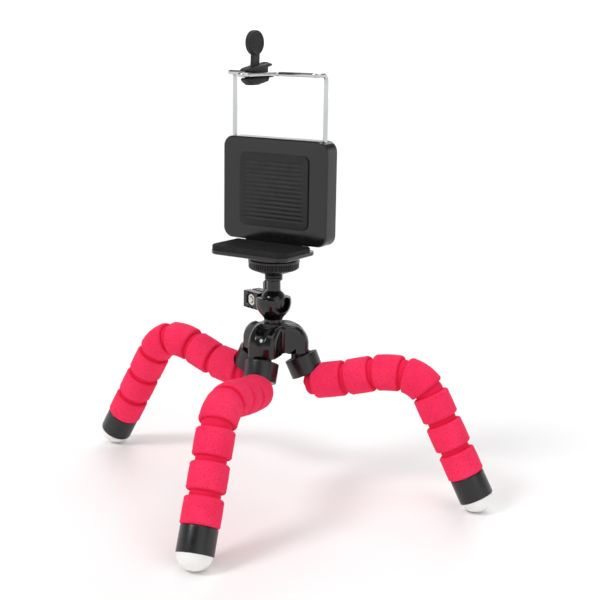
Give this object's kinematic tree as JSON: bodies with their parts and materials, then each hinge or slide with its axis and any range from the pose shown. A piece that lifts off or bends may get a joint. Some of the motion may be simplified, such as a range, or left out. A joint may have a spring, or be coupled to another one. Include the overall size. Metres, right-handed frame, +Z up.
{
  "type": "phone tripod",
  "caption": "Table tripod with bendable foam legs, a ball head and a sprung clamp that grips a phone between a padded lower jaw and a rubber upper jaw on a wire frame.",
  "frame": {"origin": "middle of the footprint on the floor, under the bounding box", "axes": "+Z up, X along the jaws, and the phone faces -Y"},
  "size_m": [0.2136, 0.1401, 0.2148],
  "materials": {
    "foam": "matte closed-cell foam",
    "black_abs": "glossy moulded",
    "black_rubber": "matte",
    "white_rubber": "satin",
    "chromed_steel": "bright chrome",
    "nickel_steel": "nickel plated",
    "zinc_steel": "zinc plated",
    "core_steel": "drawn wire",
    "spring_steel": "drawn wire",
    "brass": "turned"
  },
  "bodies": {
    "hub": {"hub_body": "black_abs", "hub_screw": "zinc_steel"},
    "right_collar": {"right_collar": "black_abs", "right_core_wire": "core_steel"},
    "right_segment_1": {"right_foam_1": "foam"},
    "right_segment_2": {"right_foam_2": "foam"},
    "right_segment_3": {"right_foam_3": "foam"},
    "right_segment_4": {"right_foam_4": "foam"},
    "right_segment_5": {"right_foam_5": "foam"},
    "right_segment_6": {"right_foam_6": "foam"},
    "right_segment_7": {"right_foam_7": "foam", "right_end_cap": "black_abs", "right_foot": "white_rubber"},
    "front_collar": {"front_collar": "black_abs", "front_core_wire": "core_steel"},
    "front_segment_1": {"front_foam_1": "foam"},
    "front_segment_2": {"front_foam_2": "foam"},
    "front_segment_3": {"front_foam_3": "foam"},
    "front_segment_4": {"front_foam_4": "foam"},
    "front_segment_5": {"front_foam_5": "foam"},
    "front_segment_6": {"front_foam_6": "foam"},
    "front_segment_7": {"front_foam_7": "foam", "front_end_cap": "black_abs", "front_foot": "white_rubber"},
    "left_collar": {"left_collar": "black_abs", "left_core_wire": "core_steel"},
    "left_segment_1": {"left_foam_1": "foam"},
    "left_segment_2": {"left_foam_2": "foam"},
    "left_segment_3": {"left_foam_3": "foam"},
    "left_segment_4": {"left_foam_4": "foam"},
    "left_segment_5": {"left_foam_5": "foam"},
    "left_segment_6": {"left_foam_6": "foam"},
    "left_segment_7": {"left_foam_7": "foam", "left_end_cap": "black_abs", "left_foot": "white_rubber"},
    "ball_cup": {"ball_cup": "black_abs", "clamp_nut": "nickel_steel"},
    "clamp": {"clamp_screw": "nickel_steel", "wing_knob": "black_abs"},
    "ball_stem": {"ball_stem": "black_abs", "camera_screw": "zinc_steel", "rubber_ring": "black_rubber"},
    "lock_wheel": {"lock_wheel": "black_abs"},
    "holder": {"holder_body": "black_abs", "back_cover": "black_abs", "cover_screws": "zinc_steel", "thread_insert": "brass", "lower_pad": "black_rubber", "back_pad": "black_rubber", "clamp_springs": "spring_steel"},
    "jaw": {"wire_frame": "chromed_steel", "wire_stops": "zinc_steel", "upper_jaw": "black_rubber"}
  },
  "joints": [
    {"name": "right_leg_swivel", "type": "hinge", "parent": "hub", "child": "right_collar", "pos_m": [0.01185, 0.0467, 0.0662], "axis": [0, 0, 1], "range_deg": [-2, 66]},
    {"name": "right_neck_bend", "type": "hinge", "parent": "right_collar", "child": "right_segment_1", "pos_m": [0.01747, 0.04769, 0.05156], "axis": [-0.1736, 0.9848, 0], "range_deg": [0, 91.6], "deforming": ["right_core_wire"]},
    {"name": "right_groove_1", "type": "hinge", "parent": "right_segment_1", "child": "right_segment_2", "pos_m": [0.03535, 0.05084, 0.05562], "axis": [0.1736, -0.9848, 0], "range_deg": [-21.4, 14.6], "deforming": ["right_core_wire"]},
    {"name": "right_groove_2", "type": "hinge", "parent": "right_segment_2", "child": "right_segment_3", "pos_m": [0.04898, 0.05324, 0.05959], "axis": [0.1736, -0.9848, 0], "range_deg": [-14, 22], "deforming": ["right_core_wire"]},
    {"name": "right_groove_3", "type": "hinge", "parent": "right_segment_3", "child": "right_segment_4", "pos_m": [0.06306, 0.05573, 0.06084], "axis": [0.1736, -0.9848, 0], "range_deg": [-10, 26], "deforming": ["right_core_wire"]},
    {"name": "right_groove_4", "type": "hinge", "parent": "right_segment_4", "child": "right_segment_5", "pos_m": [0.07516, 0.05786, 0.05403], "axis": [0.1736, -0.9848, 0], "range_deg": [-3.51, 32.49], "deforming": ["right_core_wire"]},
    {"name": "right_groove_5", "type": "hinge", "parent": "right_segment_5", "child": "right_segment_6", "pos_m": [0.08171, 0.05902, 0.04126], "axis": [0.1736, -0.9848, 0], "range_deg": [-18, 18], "deforming": ["right_core_wire"]},
    {"name": "right_groove_6", "type": "hinge", "parent": "right_segment_6", "child": "right_segment_7", "pos_m": [0.08826, 0.06017, 0.02849], "axis": [0.1736, -0.9848, 0], "range_deg": [-18, 18], "deforming": ["right_core_wire"]},
    {"name": "front_leg_swivel", "type": "hinge", "parent": "hub", "child": "front_collar", "pos_m": [0.00473, 0.02479, 0.0662], "axis": [0, 0, 1], "range_deg": [-40, 28]},
    {"name": "front_neck_bend", "type": "hinge", "parent": "front_collar", "child": "front_segment_1", "pos_m": [0.0065, 0.01936, 0.05156], "axis": [0.9511, 0.309, 0], "range_deg": [0, 87.5], "deforming": ["front_core_wire"]},
    {"name": "front_groove_1", "type": "hinge", "parent": "front_segment_1", "child": "front_segment_2", "pos_m": [0.01218, 0.00187, 0.05431], "axis": [-0.9511, -0.309, 0], "range_deg": [-21.5, 14.5], "deforming": ["front_core_wire"]},
    {"name": "front_groove_2", "type": "hinge", "parent": "front_segment_2", "child": "front_segment_3", "pos_m": [0.01654, -0.01153, 0.05731], "axis": [-0.9511, -0.309, 0], "range_deg": [-18.5, 17.5], "deforming": ["front_core_wire"]},
    {"name": "front_groove_3", "type": "hinge", "parent": "front_segment_3", "child": "front_segment_4", "pos_m": [0.02094, -0.02508, 0.05918], "axis": [-0.9511, -0.309, 0], "range_deg": [-7, 29], "deforming": ["front_core_wire"]},
    {"name": "front_groove_4", "type": "hinge", "parent": "front_segment_4", "child": "front_segment_5", "pos_m": [0.02479, -0.03694, 0.0527], "axis": [-0.9511, -0.309, 0], "range_deg": [-5.05, 30.95], "deforming": ["front_core_wire"]},
    {"name": "front_groove_5", "type": "hinge", "parent": "front_segment_5", "child": "front_segment_6", "pos_m": [0.02705, -0.0439, 0.04029], "axis": [-0.9511, -0.309, 0], "range_deg": [-18, 18], "deforming": ["front_core_wire"]},
    {"name": "front_groove_6", "type": "hinge", "parent": "front_segment_6", "child": "front_segment_7", "pos_m": [0.02932, -0.05086, 0.02789], "axis": [-0.9511, -0.309, 0], "range_deg": [-18, 18], "deforming": ["front_core_wire"]},
    {"name": "left_leg_swivel", "type": "hinge", "parent": "hub", "child": "left_collar", "pos_m": [-0.01068, 0.04191, 0.0662], "axis": [0, 0, 1], "range_deg": [-53, 15]},
    {"name": "left_neck_bend", "type": "hinge", "parent": "left_collar", "child": "left_segment_1", "pos_m": [-0.01638, 0.04181, 0.05156], "axis": [0.0175, -0.9998, 0], "range_deg": [0, 89.5], "deforming": ["left_core_wire"]},
    {"name": "left_groove_1", "type": "hinge", "parent": "left_segment_1", "child": "left_segment_2", "pos_m": [-0.03467, 0.04149, 0.05495], "axis": [-0.0175, 0.9998, 0], "range_deg": [-28.5, 7.5], "deforming": ["left_core_wire"]},
    {"name": "left_groove_2", "type": "hinge", "parent": "left_segment_2", "child": "left_segment_3", "pos_m": [-0.04811, 0.04126, 0.06012], "axis": [-0.0175, 0.9998, 0], "range_deg": [-17, 19], "deforming": ["left_core_wire"]},
    {"name": "left_groove_3", "type": "hinge", "parent": "left_segment_3", "child": "left_segment_4", "pos_m": [-0.06223, 0.04101, 0.06198], "axis": [-0.0175, 0.9998, 0], "range_deg": [-3, 33], "deforming": ["left_core_wire"]},
    {"name": "left_groove_4", "type": "hinge", "parent": "left_segment_4", "child": "left_segment_5", "pos_m": [-0.07315, 0.04082, 0.05313], "axis": [-0.0175, 0.9998, 0], "range_deg": [-15.59, 20.41], "deforming": ["left_core_wire"]},
    {"name": "left_groove_5", "type": "hinge", "parent": "left_segment_5", "child": "left_segment_6", "pos_m": [-0.08026, 0.04069, 0.04061], "axis": [-0.0175, 0.9998, 0], "range_deg": [-18, 18], "deforming": ["left_core_wire"]},
    {"name": "left_groove_6", "type": "hinge", "parent": "left_segment_6", "child": "left_segment_7", "pos_m": [-0.08737, 0.04057, 0.02809], "axis": [-0.0175, 0.9998, 0], "range_deg": [-18, 18], "deforming": ["left_core_wire"]},
    {"name": "head_turn", "type": "hinge", "parent": "hub", "child": "ball_cup", "pos_m": [0.00197, 0.0378, 0.0801], "axis": [0, 0, 1], "continuous": true},
    {"name": "ball_tilt", "type": "hinge", "parent": "ball_cup", "child": "ball_stem", "pos_m": [0.00197, 0.0378, 0.0901], "axis": [0.3057, 0.9521, 0], "range_deg": [-25, 90]},
    {"name": "clamp_knob_turn", "type": "hinge", "parent": "ball_cup", "child": "clamp", "pos_m": [-0.00965, 0.04153, 0.0893], "axis": [0.3057, 0.9521, 0], "range_deg": [0, 360]},
    {"name": "lock_wheel_turn", "type": "hinge", "parent": "ball_stem", "child": "lock_wheel", "pos_m": [0.00197, 0.0378, 0.1034], "axis": [0, 0, 1], "continuous": true},
    {"name": "holder_swivel", "type": "hinge", "parent": "ball_stem", "child": "holder", "pos_m": [0.00197, 0.0378, 0.11065], "axis": [0, 0, 1], "continuous": true},
    {"name": "jaw_slide", "type": "slide", "parent": "holder", "child": "jaw", "axis": [0, 0, 1], "range_m": [-0.0206, 0.0094], "stiffness_N_per_m": 300, "deforming": ["clamp_springs"]}
  ]
}
